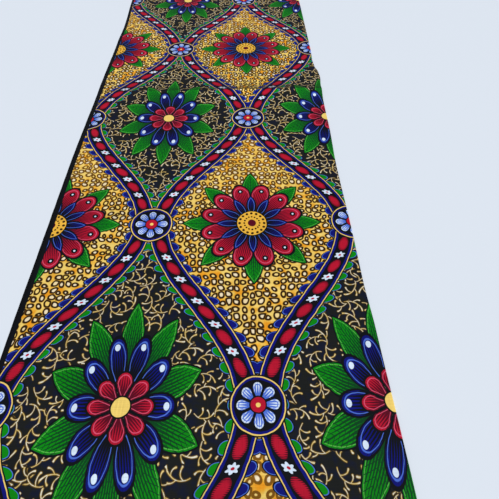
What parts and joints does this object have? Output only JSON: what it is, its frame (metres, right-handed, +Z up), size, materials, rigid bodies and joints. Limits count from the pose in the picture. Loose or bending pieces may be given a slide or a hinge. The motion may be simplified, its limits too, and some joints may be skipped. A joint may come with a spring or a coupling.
{
  "type": "wax print fabric",
  "caption": "Length of printed cotton folded lengthwise and laid flat, with a soft rounded fold, packing creases and slightly offset edges.",
  "frame": {"origin": "on the surface it lies on, under the middle of the folded length's box", "axes": "+Y along the length, +X across it towards the fold, +Z up from the surface"},
  "size_m": [0.5986, 1.838, 0.0116],
  "materials": {
    "printed_cotton": "plain-weave cotton, wax printed in gold, navy, green, crimson and blue, with a faint glaze"
  },
  "bodies": {
    "root": {"folded_cloth": "printed_cotton"}
  },
  "joints": []
}
